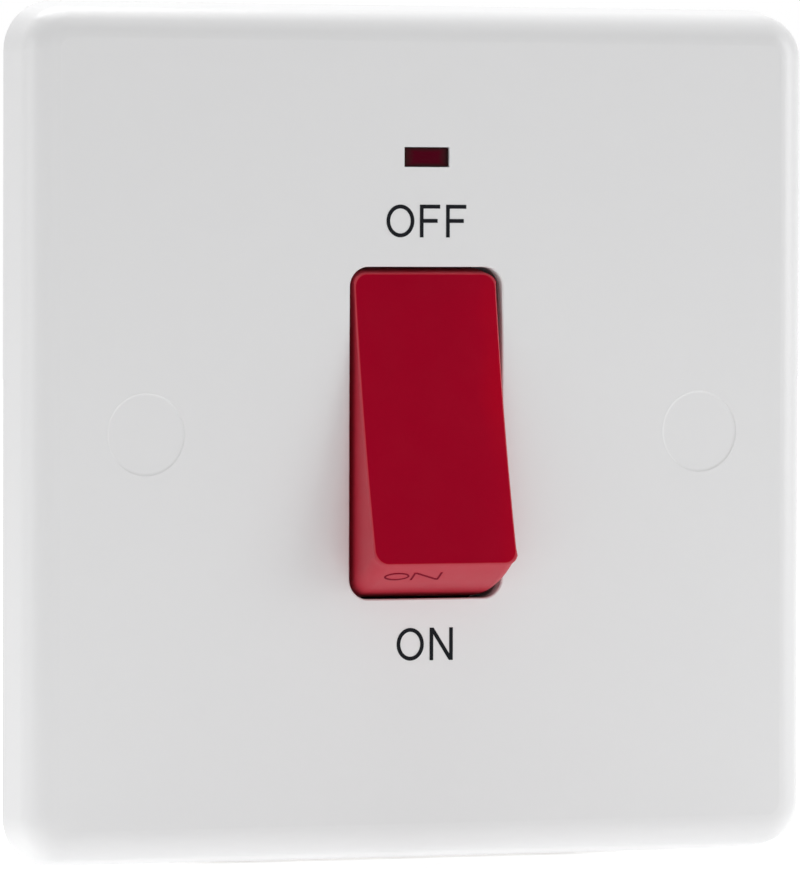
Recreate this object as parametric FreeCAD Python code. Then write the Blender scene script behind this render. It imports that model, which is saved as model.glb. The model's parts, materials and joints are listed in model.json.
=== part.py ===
import FreeCAD, Part
import math
import os

from FreeCAD import Vector

# One-gang double-pole cooker switch: a moulded wall plate with a tall rocker, a neon
# window above it and, behind, a moulding that carries the contacts and terminals.
# Millimetres. X is right as seen from the front, Z is up and the front faces -Y.
# The origin is the centre of the plane in which the plate's rim meets the wall.

# Wall plate
plate_side = 86.0
plate_depth = 6.1
plate_corner = 5.0
plate_lean = 1.1
plate_edge_round = 3.2
front_wall = 2.5
rim_wall = 2.6
rib_wall = 1.1
rib_height = 2.3
rib_spread = 45.0
rib_sink = 0.6
boss_end_gap = 0.4

# Fixing screws and the caps that hide them
fixing_centres = 60.3
fixing_screw_radius = 1.75
fixing_neck_radius = 1.4
fixing_neck_beyond = 0.6
fixing_screw_reach = 22.0
fixing_head_radius = 3.2
fixing_head_height = 1.9
fixing_hole_clearance = 0.25
fixing_boss_wall = 1.5
cap_radius = 4.08
cap_thickness = 1.5
cap_edge_chamfer = 0.15
cap_fit = 0.05
cap_to_head = 0.1

# Rocker opening in the plate and the collar behind it
opening_side_gap = 0.55
opening_end_gap = 0.05
opening_corner = 2.0
opening_lip = 1.3
opening_edge_chamfer = 0.12
collar_relief = 0.25
collar_height_relief = 0.6
collar_wall = 1.6
collar_beyond_trunnion = 1.05

# Rocker, about its own pivot
pivot_depth = 4.75
rocker_half_width = 7.75
rocker_end_radius = 16.6
rocker_edge_angle = 26.5
rocker_dish = 0.5
rocker_skirt_angle = 6.0
rocker_wall = 1.4
rocker_edge_chamfer = 0.2
rocker_tilt = 11.5
trunnion_radius = 1.5
trunnion_fit = 0.05
trunnion_end_gap = 0.2

# Plungers that the rocker carries, one for each pole
pole_spacing = 8.4
plunger_reach = 8.0
plunger_radius = 1.5
plunger_collar_length = 6.2
plunger_stem_radius = 0.75
plunger_stem_length = 2.2
plunger_fit = 0.06
plunger_tube_wall = 0.65
plunger_tube_length = 4.4
spring_radius = 1.15
spring_wire_radius = 0.16
spring_turns = 4
spring_points = 12
spring_end_gap = 0.05
plunger_nose_flat = 0.6
plunger_nose_length = 1.1
plunger_to_blade = 0.05

# Moving contacts: flat copper blades that rock on the pivot posts
blade_width = 5.0
blade_thickness = 1.8
blade_half_length = 13.6
blade_tilt = 8.0
contact_arm = 11.4
contact_tip_radius = 1.9
moving_tip_height = 0.9
moving_tip_crown = 0.25
moving_tip_flat = 1.3
fixed_tip_height = 0.7
fixed_tip_chamfer = 0.2
rivet_radius = 0.95
contact_closed_gap = 0.12
post_tip_radius = 0.6
post_fit = 0.05
strap_thickness = 1.2
strap_leg_width = 4.0
strap_bend = 0.5
strap_past_terminal_middle = 2.5
blade_stop_gap = 0.12

# Switch base: one moulding behind the plate
base_seat_gap = 0.3
rocker_room = 0.5
recess_floor = 1.3
base_corner = 2.0
chamber_room = 1.1
chamber_wall = 1.7
chamber_corner = 0.5
pole_barrier = 1.2
pole_barrier_room = 2.0
base_end_margin = 0.6
terminal_side_wall = 1.8
terminal_inner_wall = 1.6
terminal_wall_height = 10.0
terminal_sill_height = 1.3
part_clearance = 0.1
body_screw_centres = 38.0
body_screw_radius = 1.4
body_screw_head_radius = 2.8
body_screw_head_height = 1.6
body_boss_radius = 3.1
body_pilot_beyond = 0.6
rear_cover_thickness = 1.8
stake_radius = 0.55
stake_fit = 0.05
stake_height = 0.5

# Conductor terminals and their clamping screws
terminal_centres = 33.2
terminal_width = 10.0
terminal_length = 12.0
terminal_bore_radius = 3.0
terminal_floor = 1.5
terminal_tapped_wall = 3.5
terminal_bore_end = 1.1
terminal_chamfer = 0.4
clamp_screw_radius = 1.9
clamp_head_radius = 2.6
clamp_head_height = 1.9
clamp_screw_spacing = 5.6
clamp_travel = 4.2
screw_fit = 0.05
screw_tip_gap = 0.2
slot_width = 0.8
slot_depth = 0.9
earth_width = 8.8
earth_length = 9.0
earth_bore_radius = 2.3
earth_tapped_wall = 3.0
earth_wall_drop = 1.5
earth_screw_radius = 1.6
earth_head_radius = 2.4
earth_travel = 3.0

# Neon indicator
neon_height = 27.65
window_half_width = 2.4
window_half_height = 0.95
window_fit = 0.05
window_recess = 0.2
lens_flange_width = 1.1
lens_flange_thickness = 1.2
lamp_radius = 2.1
lamp_length = 9.0
lamp_dome = 1.05
lamp_fit = 0.15
lamp_tab_half_width = 12.4
lamp_tab_margin = 1.3
lead_radius = 0.3
lead_bend = 0.8
lead_groove_room = 0.15
lead_row_length = 5.5
lead_drop = 3.0
lead_hole_inset = 2.5
resistor_radius = 0.8
resistor_length = 3.2

# Depths along Y that follow from the sizes above
front_y = -plate_depth
inner_y = front_y + front_wall
pivot_y = front_y + pivot_depth
collar_end_y = pivot_y + trunnion_radius + collar_beyond_trunnion
base_front_y = collar_end_y + base_seat_gap
skirt_swing = math.radians(rocker_skirt_angle + rocker_tilt)
recess_y = pivot_y + rocker_end_radius * math.sin(skirt_swing) + rocker_room
deck_y = recess_y + recess_floor
blade_front_y = pivot_y + plunger_reach + plunger_to_blade
contact_pivot_y = blade_front_y + blade_thickness
tilt_sine = math.sin(math.radians(blade_tilt))
tilt_cosine = math.cos(math.radians(blade_tilt))
closed_tip_y = contact_pivot_y + moving_tip_height * tilt_cosine + (contact_arm + moving_tip_flat) * tilt_sine
fixed_tip_y = closed_tip_y + contact_closed_gap
strap_y = fixed_tip_y + fixed_tip_height
chamber_floor_y = strap_y + strap_thickness
rear_cover_y = chamber_floor_y + rear_cover_thickness
cap_seat_y = front_y + cap_thickness
screw_seat_y = cap_seat_y + cap_to_head + fixing_head_height
terminal_back_y = deck_y + terminal_floor + 2 * terminal_bore_radius + terminal_tapped_wall
terminal_bore_y = deck_y + terminal_floor + terminal_bore_radius
earth_back_y = deck_y + terminal_floor + 2 * earth_bore_radius + earth_tapped_wall
earth_bore_y = deck_y + terminal_floor + earth_bore_radius

# Places across the part that follow from the sizes above
inner_half = plate_side / 2 - rim_wall
opening_half_width = rocker_half_width + opening_side_gap
opening_half_height = rocker_end_radius + opening_end_gap
collar_half_width = opening_half_width + collar_relief
collar_half_height = opening_half_height + collar_height_relief
pole_x = pole_spacing / 2
chamber_half_width = pole_x + blade_width / 2 + chamber_room + rocker_room
chamber_half_height = blade_half_length + chamber_room
housing_half_width = chamber_half_width + chamber_wall
housing_half_height = chamber_half_height + chamber_wall
leg_outer_z = chamber_half_height - part_clearance
leg_inner_z = leg_outer_z - strap_leg_width
terminal_x = terminal_centres / 2
terminal_mid_z = leg_outer_z + terminal_length / 2
base_half_width = terminal_x + terminal_width / 2 + part_clearance + terminal_side_wall
base_half_height = leg_outer_z + terminal_length + base_end_margin
earth_inner_z = base_half_height - base_end_margin - earth_length
body_screw_x = body_screw_centres / 2
fixing_x = fixing_centres / 2
stake_x = chamber_half_width + chamber_wall / 2
stake_z = chamber_half_height + chamber_wall / 2
lamp_y = base_front_y + lead_radius
lead_y = lamp_y
lead_row_z = neon_height - lead_drop
lead_hole_x = terminal_x - lead_hole_inset
lead_column = lead_hole_x - lead_row_length

# How far a cutting tool runs past a face, and how close two places count as one
past = 1.0
close = 0.01

east = Vector(1, 0, 0)
rearward = Vector(0, 1, 0)
up = Vector(0, 0, 1)
wire_sides = 8


def box(x_from, x_to, y_from, y_to, z_from, z_to):
    """A block between two corners."""
    size = Vector(x_to - x_from, y_to - y_from, z_to - z_from)
    return Part.makeBox(size.x, size.y, size.z, Vector(x_from, y_from, z_from))


def rod_y(radius, y_from, y_to, x=0.0, z=0.0):
    """A round bar along the depth of the part."""
    return Part.makeCylinder(radius, y_to - y_from, Vector(x, y_from, z), rearward)


def rod_x(radius, x_from, x_to, y=0.0, z=0.0):
    """A round bar across the part."""
    return Part.makeCylinder(radius, x_to - x_from, Vector(x_from, y, z), east)


def rounded_outline(half_width, half_height, corner, y):
    """A rectangle with round corners in a plane parallel to the wall."""
    edges = []
    inset = corner * (1 - math.sqrt(0.5))
    reach_x = half_width - corner
    reach_z = half_height - corner
    corners = [(1, 1), (-1, 1), (-1, -1), (1, -1)]
    for index, (sx, sz) in enumerate(corners):
        side_point = Vector(sx * half_width, y, sz * reach_z)
        end_point = Vector(sx * reach_x, y, sz * half_height)
        middle = Vector(sx * (half_width - inset), y, sz * (half_height - inset))
        start, end = (side_point, end_point) if sx == sz else (end_point, side_point)
        edges.append(Part.Arc(start, middle, end).toShape())
        next_x, next_z = corners[(index + 1) % len(corners)]
        if sx == sz:
            following = Vector(next_x * reach_x, y, next_z * half_height)
        else:
            following = Vector(next_x * half_width, y, next_z * reach_z)
        edges.append(Part.makeLine(end, following))
    return Part.Wire(edges)


def rounded_block(half_width, half_height, corner, y_from, y_to, x=0.0, z=0.0):
    """A block along the depth with its four long edges rounded."""
    face = Part.Face(rounded_outline(half_width, half_height, corner, y_from))
    solid = face.extrude(Vector(0, y_to - y_from, 0))
    return solid.translated(Vector(x, 0, z))


def turned(profile):
    """A turned piece: (radius, y) points swept once about the Y axis."""
    points = [Vector(radius, y, 0) for radius, y in profile]
    outline = Part.makePolygon(points + [points[0]])
    return Part.Face(outline).revolve(Vector(0, 0, 0), rearward, 360)


def wire_section(radius, centre, direction):
    """An eight-sided face across a wire, as wide as the round it stands for."""
    across = direction.cross(up if abs(direction.z) < 0.5 else east).normalize()
    along = direction.cross(across)
    points = []
    for index in range(wire_sides + 1):
        angle = 2 * math.pi * index / wire_sides
        points.append(centre + across * (radius * math.cos(angle)) + along * (radius * math.sin(angle)))
    return Part.Face(Part.makePolygon(points))


def bent_wire(points, radius, bend):
    """Thin wire: straight runs joined by bends of one radius."""
    corners = [Vector(*point) for point in points]
    pieces = []
    start = corners[0]
    for before, corner, after in zip(corners, corners[1:], corners[2:]):
        into = (corner - before).normalize()
        out_of = (after - corner).normalize()
        turn = into.getAngle(out_of)
        setback = bend * math.tan(turn / 2)
        first = corner - into * setback
        axis = into.cross(out_of).normalize()
        centre = first + axis.cross(into) * bend
        pieces.append(wire_section(radius, start, into).extrude(first - start))
        pieces.append(wire_section(radius, first, into).revolve(centre, axis, math.degrees(turn)))
        start = corner + out_of * setback
    direction = (corners[-1] - corners[-2]).normalize()
    pieces.append(wire_section(radius, start, direction).extrude(corners[-1] - start))
    return pieces[0].multiFuse(pieces[1:])


def slotted_screw(radius, length, head_radius, head_height, neck_radius=None, neck_length=0.0):
    """A screw along +Y with its tip at the origin and a straight slot in its head."""
    profile = [(0, 0), (radius, 0)]
    if neck_radius is None:
        profile += [(radius, length)]
    else:
        neck_start = length - neck_length
        profile += [(radius, neck_start), (neck_radius, neck_start), (neck_radius, length)]
    profile += [(head_radius, length), (head_radius, length + head_height), (0, length + head_height)]
    slot_y = length + head_height - slot_depth
    slot = box(-head_radius, head_radius, slot_y, slot_y + 2 * slot_depth, -slot_width / 2, slot_width / 2)
    return turned(profile).cut(slot)


def at_rocker(shape):
    """Carry a shape drawn about the rocker's pivot to its place, with the top pressed in."""
    placed = shape.translated(Vector(0, pivot_y, 0))
    placed.rotate(Vector(0, pivot_y, 0), east, -rocker_tilt)
    return placed


def at_blade(shape):
    """Carry a shape drawn about a blade's pivot to its place, with the contacts open."""
    placed = shape.translated(Vector(0, contact_pivot_y, 0))
    placed.rotate(Vector(0, contact_pivot_y, 0), east, blade_tilt)
    return placed


def edges_near_front(shape, half_width, half_height):
    """The edges of the front face that lie inside a central rectangle."""
    found = []
    for edge in shape.Edges:
        bounds = edge.BoundBox
        on_front = abs(bounds.YMin - front_y) < close and abs(bounds.YMax - front_y) < close
        inside = max(abs(bounds.XMin), abs(bounds.XMax)) < half_width
        if on_front and inside and max(abs(bounds.ZMin), abs(bounds.ZMax)) < half_height:
            found.append(edge)
    return found


def front_plate():
    """The moulded plate: a shallow tray with a collar, bosses and ribs inside."""
    front_half = plate_side / 2 - plate_lean
    rim = rounded_outline(plate_side / 2, plate_side / 2, plate_corner, 0)
    face = rounded_outline(front_half, front_half, plate_corner - plate_lean, front_y)
    plate = Part.makeLoft([rim, face], True, True)
    front_edges = [e for e in plate.Edges if e.BoundBox.YMax < front_y + close]
    plate = plate.makeFillet(plate_edge_round, front_edges)
    plate = plate.cut(rounded_block(inner_half, inner_half, plate_corner - rim_wall / 2, inner_y, past))

    additions = [plate_ribs(), collar_body()]
    for side in (-1, 1):
        boss_radius = cap_radius + cap_fit + fixing_boss_wall
        additions.append(rod_y(boss_radius, inner_y, -boss_end_gap, side * fixing_x))
        additions.append(rod_y(body_boss_radius, inner_y, base_front_y, side * body_screw_x))
    plate = plate.multiFuse(additions).removeSplitter()

    cuts = [opening_cut(), collar_cut(), window_cut()]
    for side in (-1, 1):
        x = side * fixing_x
        cuts.append(rod_y(cap_radius + cap_fit, front_y - past, cap_seat_y, x))
        cuts.append(rod_y(fixing_head_radius + fixing_hole_clearance, cap_seat_y - past, screw_seat_y, x))
        cuts.append(rod_y(fixing_screw_radius + fixing_hole_clearance, screw_seat_y - past, past, x))
        pilot_radius = body_screw_radius + screw_fit
        pilot_start = inner_y - body_pilot_beyond
        cuts.append(rod_y(pilot_radius, pilot_start, base_front_y + past, side * body_screw_x))
        cuts.append(bearing_notch(side))
    for cutter in cuts:
        plate = plate.cut(cutter)
    mouth = edges_near_front(plate, opening_half_width + past, opening_half_height + past)
    return plate.makeChamfer(opening_edge_chamfer, mouth)


def plate_ribs():
    """A lattice of thin ribs behind the front face, and a frame for the neon lens."""
    rib_end = inner_y + rib_height
    half = rib_wall / 2
    reach = inner_half + rib_sink
    ribs = []
    for offset in (-rib_spread / 2, rib_spread / 2):
        ribs.append(box(-reach, reach, inner_y, rib_end, offset - half, offset + half))
        ribs.append(box(offset - half, offset + half, inner_y, rib_end, -reach, reach))
    ribs.append(box(-reach, reach, inner_y, rib_end, -half, half))
    frame_x = window_half_width + lens_flange_width + part_clearance
    frame_z = window_half_height + lens_flange_width + part_clearance
    frame = box(-frame_x - rib_wall, frame_x + rib_wall, inner_y, inner_y + lens_flange_thickness,
                neon_height - frame_z - rib_wall, neon_height + frame_z + rib_wall)
    ribs.append(frame)
    lattice = ribs[0].multiFuse(ribs[1:])
    opening = box(-frame_x, frame_x, inner_y, rib_end + past, neon_height - frame_z, neon_height + frame_z)
    return lattice.cut(opening)


def collar_body():
    """The outside of the collar round the rocker opening."""
    half_width = collar_half_width + collar_wall
    half_height = collar_half_height + collar_wall
    return rounded_block(half_width, half_height, opening_corner + collar_wall, inner_y, collar_end_y)


def opening_cut():
    """The opening that shows at the front."""
    return rounded_block(opening_half_width, opening_half_height, opening_corner,
                         front_y - past, inner_y + past)


def collar_cut():
    """The wider hollow behind the lip, in which the rocker swings."""
    start = front_y + opening_lip
    return rounded_block(collar_half_width, collar_half_height, opening_corner, start, collar_end_y + past)


def bearing_notch(side):
    """The round-bottomed notch that takes one trunnion of the rocker from behind."""
    radius = trunnion_radius + trunnion_fit
    x_near = side * (collar_half_width - past)
    x_far = side * (collar_half_width + collar_wall + past)
    x_from, x_to = sorted((x_near, x_far))
    round_end = rod_x(radius, x_from, x_to, pivot_y)
    return round_end.fuse(box(x_from, x_to, pivot_y, collar_end_y + past, -radius, radius))


def window_cut():
    """The small rectangular hole for the neon lens."""
    half_width = window_half_width + window_fit
    half_height = window_half_height + window_fit
    return box(-half_width, half_width, front_y - past, inner_y + close,
               neon_height - half_height, neon_height + half_height)


def screw_cap():
    """A flush disc with a broken edge, pressed in over a fixing screw."""
    edge = cap_edge_chamfer
    profile = [(0, 0), (cap_radius - edge, 0), (cap_radius, edge)]
    profile += [(cap_radius, cap_thickness), (0, cap_thickness)]
    return turned(profile).translated(Vector(0, front_y, 0))


def fixing_screw():
    """A screw that the plate holds by its thin neck; its head faces the front."""
    neck_length = fixing_neck_beyond - screw_seat_y
    length = fixing_screw_reach - screw_seat_y
    screw = slotted_screw(fixing_screw_radius, length, fixing_head_radius, fixing_head_height,
                          fixing_neck_radius, neck_length)
    screw.rotate(Vector(0, 0, 0), up, 180)
    return screw.translated(Vector(0, fixing_screw_reach, 0))


def rocker_section(end_radius, face_drop, rear_y):
    """The rocker's side view: a dished face, two arcs about the pivot and a flat rear."""
    edge_angle = math.radians(rocker_edge_angle)
    edge_y = -end_radius * math.sin(edge_angle)
    edge_z = end_radius * math.cos(edge_angle)
    rear_z = math.sqrt(end_radius ** 2 - rear_y ** 2)
    top = Vector(0, edge_y + face_drop, edge_z)
    bottom = Vector(0, edge_y + face_drop, -edge_z)
    if face_drop > 0:
        shifted_z = math.sqrt(end_radius ** 2 - (edge_y + face_drop) ** 2)
        top.z = shifted_z
        bottom.z = -shifted_z
    dish = Vector(0, top.y + rocker_dish, 0)
    face = Part.Arc(bottom, dish, top).toShape()
    top_rear = Vector(0, rear_y, rear_z)
    bottom_rear = Vector(0, rear_y, -rear_z)
    top_end = Part.Arc(top, Vector(0, 0, end_radius), top_rear).toShape()
    bottom_end = Part.Arc(bottom_rear, Vector(0, 0, -end_radius), bottom).toShape()
    rear = Part.makeLine(top_rear, bottom_rear)
    return Part.Face(Part.Wire([face, top_end, rear, bottom_end]))


def rocker():
    """A hollow rocker with two trunnions and two tubes for the plungers."""
    rear_y = rocker_end_radius * math.sin(math.radians(rocker_skirt_angle))
    outer = rocker_section(rocker_end_radius, 0.0, rear_y)
    body = outer.extrude(Vector(2 * rocker_half_width, 0, 0)).translated(Vector(-rocker_half_width, 0, 0))
    corner_round = opening_corner - opening_side_gap
    arcs = [e for e in body.Edges if isinstance(e.Curve, Part.Circle)]
    body = body.makeFillet(corner_round, [e for e in arcs if abs(e.Curve.Radius - rocker_end_radius) < close])
    edge_y = -rocker_end_radius * math.sin(math.radians(rocker_edge_angle))
    rim = [e for e in body.Edges if e.BoundBox.YMax < edge_y + rocker_dish + close]
    body = body.makeChamfer(rocker_edge_chamfer, rim)
    hollow_half = rocker_half_width - rocker_wall
    hollow = rocker_section(rocker_end_radius - rocker_wall, rocker_wall, rear_y + past)
    hollow = hollow.extrude(Vector(2 * hollow_half, 0, 0)).translated(Vector(-hollow_half, 0, 0))
    body = body.cut(hollow)
    trunnion_end = collar_half_width + collar_wall - trunnion_end_gap
    tube_front = edge_y + rocker_dish + rocker_wall / 2
    additions = []
    cuts = []
    for side in (-1, 1):
        x_near = side * (rocker_half_width - rocker_wall)
        x_far = side * trunnion_end
        additions.append(rod_x(trunnion_radius, *sorted((x_near, x_far))))
        tube_radius = plunger_radius + plunger_fit + plunger_tube_wall
        additions.append(rod_y(tube_radius, tube_front, plunger_tube_length, side * pole_x))
        cuts.append(rod_y(plunger_radius + plunger_fit, tube_front + rocker_wall, plunger_tube_length + past,
                          side * pole_x))
    body = body.multiFuse(additions)
    for cutter in cuts:
        body = body.cut(cutter)
    return at_rocker(body.removeSplitter())


def spring_seat_y():
    """The bottom of a plunger tube, about the rocker's pivot."""
    edge_y = -rocker_end_radius * math.sin(math.radians(rocker_edge_angle))
    return edge_y + rocker_dish + rocker_wall / 2 + rocker_wall


def plunger(x):
    """A plunger with a tapered nose and a stem that centres its spring."""
    shoulder = plunger_reach - plunger_collar_length
    stem_end = shoulder - plunger_stem_length
    profile = [(0, stem_end), (plunger_stem_radius, stem_end), (plunger_stem_radius, shoulder)]
    profile += [(plunger_radius, shoulder), (plunger_radius, plunger_reach - plunger_nose_length)]
    profile += [(plunger_nose_flat, plunger_reach), (0, plunger_reach)]
    return at_rocker(turned(profile).translated(Vector(x, 0, 0)))


def plunger_spring(x):
    """A compression spring between the bottom of the tube and the plunger's shoulder."""
    start = spring_seat_y() + spring_wire_radius + spring_end_gap
    end = plunger_reach - plunger_collar_length - spring_wire_radius - spring_end_gap
    steps = spring_turns * spring_points
    points = []
    for index in range(steps + 1):
        angle = 2 * math.pi * index / spring_points
        across = Vector(math.cos(angle), 0, math.sin(angle))
        points.append(across * spring_radius + Vector(0, start + (end - start) * index / steps, 0))
    half = spring_wire_radius
    centre = points[0]
    corners = [(-half, -half), (half, -half), (half, half), (-half, half), (-half, -half)]
    section = Part.makePolygon([centre + Vector(across_x, along_y, 0) for across_x, along_y in corners])
    coil = Part.makePolygon(points).makePipeShell([section], True, False, 1)
    return at_rocker(coil.translated(Vector(x, 0, 0)))


def moving_contact(x):
    """A copper blade with a half-round groove that rocks on the post."""
    half = blade_width / 2
    blade = rounded_block(half, blade_half_length, half / 2, -blade_thickness, 0)
    groove = rod_x(post_tip_radius + post_fit, -half - past, half + past)
    rivet_hole = rod_y(rivet_radius, -blade_thickness - past, past, 0, contact_arm)
    return at_blade(blade.cut(groove).cut(rivet_hole).translated(Vector(x, 0, 0)))


def moving_tip(x):
    """The silver contact riveted through the blade, with a slightly crowned face."""
    crown_y = moving_tip_height - moving_tip_crown
    profile = [(0, -blade_thickness), (rivet_radius, -blade_thickness), (rivet_radius, 0)]
    profile += [(contact_tip_radius, 0), (contact_tip_radius, crown_y)]
    profile += [(moving_tip_flat, moving_tip_height), (0, moving_tip_height)]
    return at_blade(turned(profile).translated(Vector(x, 0, contact_arm)))


def fixed_tip(x):
    """The silver contact riveted to the load strap."""
    edge = fixed_tip_chamfer
    profile = [(0, 0), (contact_tip_radius - edge, 0), (contact_tip_radius, edge)]
    profile += [(contact_tip_radius, fixed_tip_height), (rivet_radius, fixed_tip_height)]
    profile += [(rivet_radius, fixed_tip_height + strap_thickness), (0, fixed_tip_height + strap_thickness)]
    return turned(profile).translated(Vector(x, fixed_tip_y, contact_arm))


def strap_leg(side, z_sign):
    """The part of a strap that leaves the chamber and meets a terminal block."""
    x_near = side * (pole_x - blade_width / 2)
    x_far = side * (terminal_x + strap_past_terminal_middle)
    z_near = z_sign * leg_inner_z
    z_far = z_sign * leg_outer_z
    return box(*sorted((x_near, x_far)), strap_y, chamber_floor_y,
               *sorted((z_near, z_far)))


def fixed_contact(side):
    """The load strap: it carries the fixed tip and runs out to the load terminal."""
    x = side * pole_x
    half = blade_width / 2
    low = contact_arm - contact_tip_radius - strap_thickness
    pad = box(x - half, x + half, strap_y, chamber_floor_y, low, leg_outer_z)
    strap = pad.fuse(strap_leg(side, 1)).removeSplitter()
    return strap.cut(rod_y(rivet_radius, strap_y - past, chamber_floor_y + past, x, contact_arm))


def pivot_post(side):
    """The supply strap: a strip folded up into the post on which the blade rocks."""
    x = side * pole_x
    half = blade_width / 2 - part_clearance
    radius = post_tip_radius
    tip = Part.Arc(Vector(0, contact_pivot_y, radius), Vector(0, contact_pivot_y - radius, 0),
                   Vector(0, contact_pivot_y, -radius)).toShape()
    inner_corner_y = strap_y - strap_bend
    outline = [
        Part.makeLine(Vector(0, contact_pivot_y, -radius), Vector(0, inner_corner_y, -radius)),
        Part.Arc(Vector(0, inner_corner_y, -radius),
                 Vector(0, strap_y - strap_bend * (1 - math.sqrt(0.5)),
                        -radius - strap_bend * (1 - math.sqrt(0.5))),
                 Vector(0, strap_y, -radius - strap_bend)).toShape(),
        Part.makeLine(Vector(0, strap_y, -radius - strap_bend), Vector(0, strap_y, -leg_outer_z)),
        Part.makeLine(Vector(0, strap_y, -leg_outer_z), Vector(0, chamber_floor_y, -leg_outer_z)),
        Part.makeLine(Vector(0, chamber_floor_y, -leg_outer_z), Vector(0, chamber_floor_y, -radius)),
        Part.Arc(Vector(0, chamber_floor_y, -radius),
                 Vector(0, chamber_floor_y - 2 * radius * (1 - math.sqrt(0.5)),
                        -radius + 2 * radius * math.sqrt(0.5)),
                 Vector(0, chamber_floor_y - 2 * radius, radius)).toShape(),
        Part.makeLine(Vector(0, chamber_floor_y - 2 * radius, radius), Vector(0, contact_pivot_y, radius)),
    ]
    section = Part.Face(Part.Wire([tip] + outline))
    strip = section.extrude(Vector(2 * half, 0, 0)).translated(Vector(x - half, 0, 0))
    return strip.fuse(strap_leg(side, -1)).removeSplitter()


def switch_base():
    """The rear moulding: deck, contact chamber, terminal pockets and the neon's seat."""
    deck = rounded_block(base_half_width, base_half_height, base_corner, base_front_y, deck_y)
    tab_top = neon_height + lamp_radius + lamp_tab_margin
    tab_half = (tab_top - base_half_height + base_corner) / 2
    tab = rounded_block(lamp_tab_half_width, tab_half, base_corner / 2, base_front_y, deck_y,
                        0, tab_top - tab_half)
    housing = rounded_block(housing_half_width, housing_half_height, base_corner / 2, deck_y, chamber_floor_y)
    additions = [tab, housing] + terminal_walls() + earth_walls()
    base = deck.multiFuse(additions)
    base = base.cut(rounded_block(housing_half_width + part_clearance, housing_half_height + part_clearance,
                                  base_corner / 2, chamber_floor_y, chamber_floor_y + terminal_wall_height))

    recess_half = rocker_end_radius + rocker_room + part_clearance
    chamber = rounded_block(chamber_half_width, chamber_half_height, chamber_corner,
                            base_front_y, chamber_floor_y + past)
    recess = rounded_block(chamber_half_width, recess_half, chamber_corner, base_front_y - past, recess_y)
    base = base.cut(chamber.fuse(recess))
    for side in (-1, 1):
        for z_sign in (-1, 1):
            base = base.cut(strap_slot(side, z_sign))
        base = base.cut(rod_y(body_screw_radius + fixing_hole_clearance, base_front_y - past, deck_y + past,
                              side * body_screw_x))
    for cutter in neon_cuts():
        base = base.cut(cutter)
    inner_parts = [pole_barrier_wall()] + blade_stops() + rear_stakes()
    return base.multiFuse(inner_parts).removeSplitter()


def pole_barrier_wall():
    """The wall between the two poles."""
    half = pole_barrier / 2
    start = pivot_y + plunger_tube_length + pole_barrier_room
    return box(-half, half, start, chamber_floor_y, -chamber_half_height - chamber_wall / 2,
               chamber_half_height + chamber_wall / 2)


def blade_stops():
    """Ledges on the chamber's side walls that the lower end of each blade rests on."""
    stops = []
    outer_z = blade_half_length * tilt_cosine
    stop_y = contact_pivot_y + blade_half_length * tilt_sine + blade_stop_gap
    for side in (-1, 1):
        x_near = side * (pole_x + blade_width / 4)
        x_far = side * (chamber_half_width + chamber_wall / 2)
        stops.append(box(*sorted((x_near, x_far)), stop_y, strap_y - part_clearance,
                         -outer_z, -outer_z + strap_thickness))
    return stops


def strap_slot(side, z_sign):
    """The slot in the chamber wall through which a strap leaves."""
    x_near = side * (chamber_half_width - past)
    x_far = side * (housing_half_width + past)
    z_near = z_sign * (leg_inner_z - part_clearance)
    z_far = z_sign * (leg_outer_z + part_clearance)
    return box(*sorted((x_near, x_far)), strap_y - part_clearance, chamber_floor_y + past,
               *sorted((z_near, z_far)))


def terminal_walls():
    """Side, inner and end walls that hold the four terminal blocks on the deck."""
    walls = []
    wall_top = deck_y + terminal_wall_height
    sill_top = deck_y + terminal_sill_height
    near_x = terminal_x - terminal_width / 2 - part_clearance
    far_x = terminal_x + terminal_width / 2 + part_clearance
    shelf_z = leg_outer_z - part_clearance
    for sx in (-1, 1):
        for sz in (-1, 1):
            outer_x = [sx * far_x, sx * base_half_width]
            inner_x = [sx * (near_x - terminal_inner_wall), sx * near_x]
            whole_x = [sx * (near_x - terminal_inner_wall), sx * base_half_width]
            run_z = [sz * leg_inner_z, sz * (base_half_height - base_corner)]
            inner_start_z = chamber_half_height + part_clearance
            inner_run_z = [sz * inner_start_z, sz * (base_half_height - part_clearance)]
            sill_z = [sz * (leg_outer_z + terminal_length + part_clearance), sz * base_half_height]
            shelf = [sz * (leg_outer_z - strap_thickness - part_clearance), sz * shelf_z]
            span = [sx * (near_x - terminal_inner_wall / 2), sx * (far_x - base_corner / 2)]
            walls.append(box(*sorted(outer_x), deck_y, wall_top, *sorted(run_z)))
            walls.append(box(*sorted(inner_x), deck_y, wall_top, *sorted(inner_run_z)))
            walls.append(box(*sorted(span), deck_y, sill_top, *sorted(sill_z)))
            walls.append(box(*sorted(whole_x), deck_y, strap_y, *sorted(shelf)))
    return walls


def earth_walls():
    """Two cheeks that hold the earth terminal below the chamber."""
    walls = []
    wall_top = earth_back_y - earth_wall_drop
    near_x = earth_width / 2 + part_clearance
    for side in (-1, 1):
        x = [side * near_x, side * (near_x + terminal_inner_wall)]
        walls.append(box(*sorted(x), deck_y, wall_top, -base_half_height + base_corner / 4,
                         -housing_half_height + chamber_wall / 2))
    return walls


def rear_stakes():
    """Four pins on the chamber walls that pass through the rear cover."""
    stakes = []
    for sx in (-1, 1):
        for sz in (-1, 1):
            stakes.append(rod_y(stake_radius, chamber_floor_y - past, rear_cover_y + stake_height,
                                sx * stake_x, sz * stake_z))
    return stakes


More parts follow.
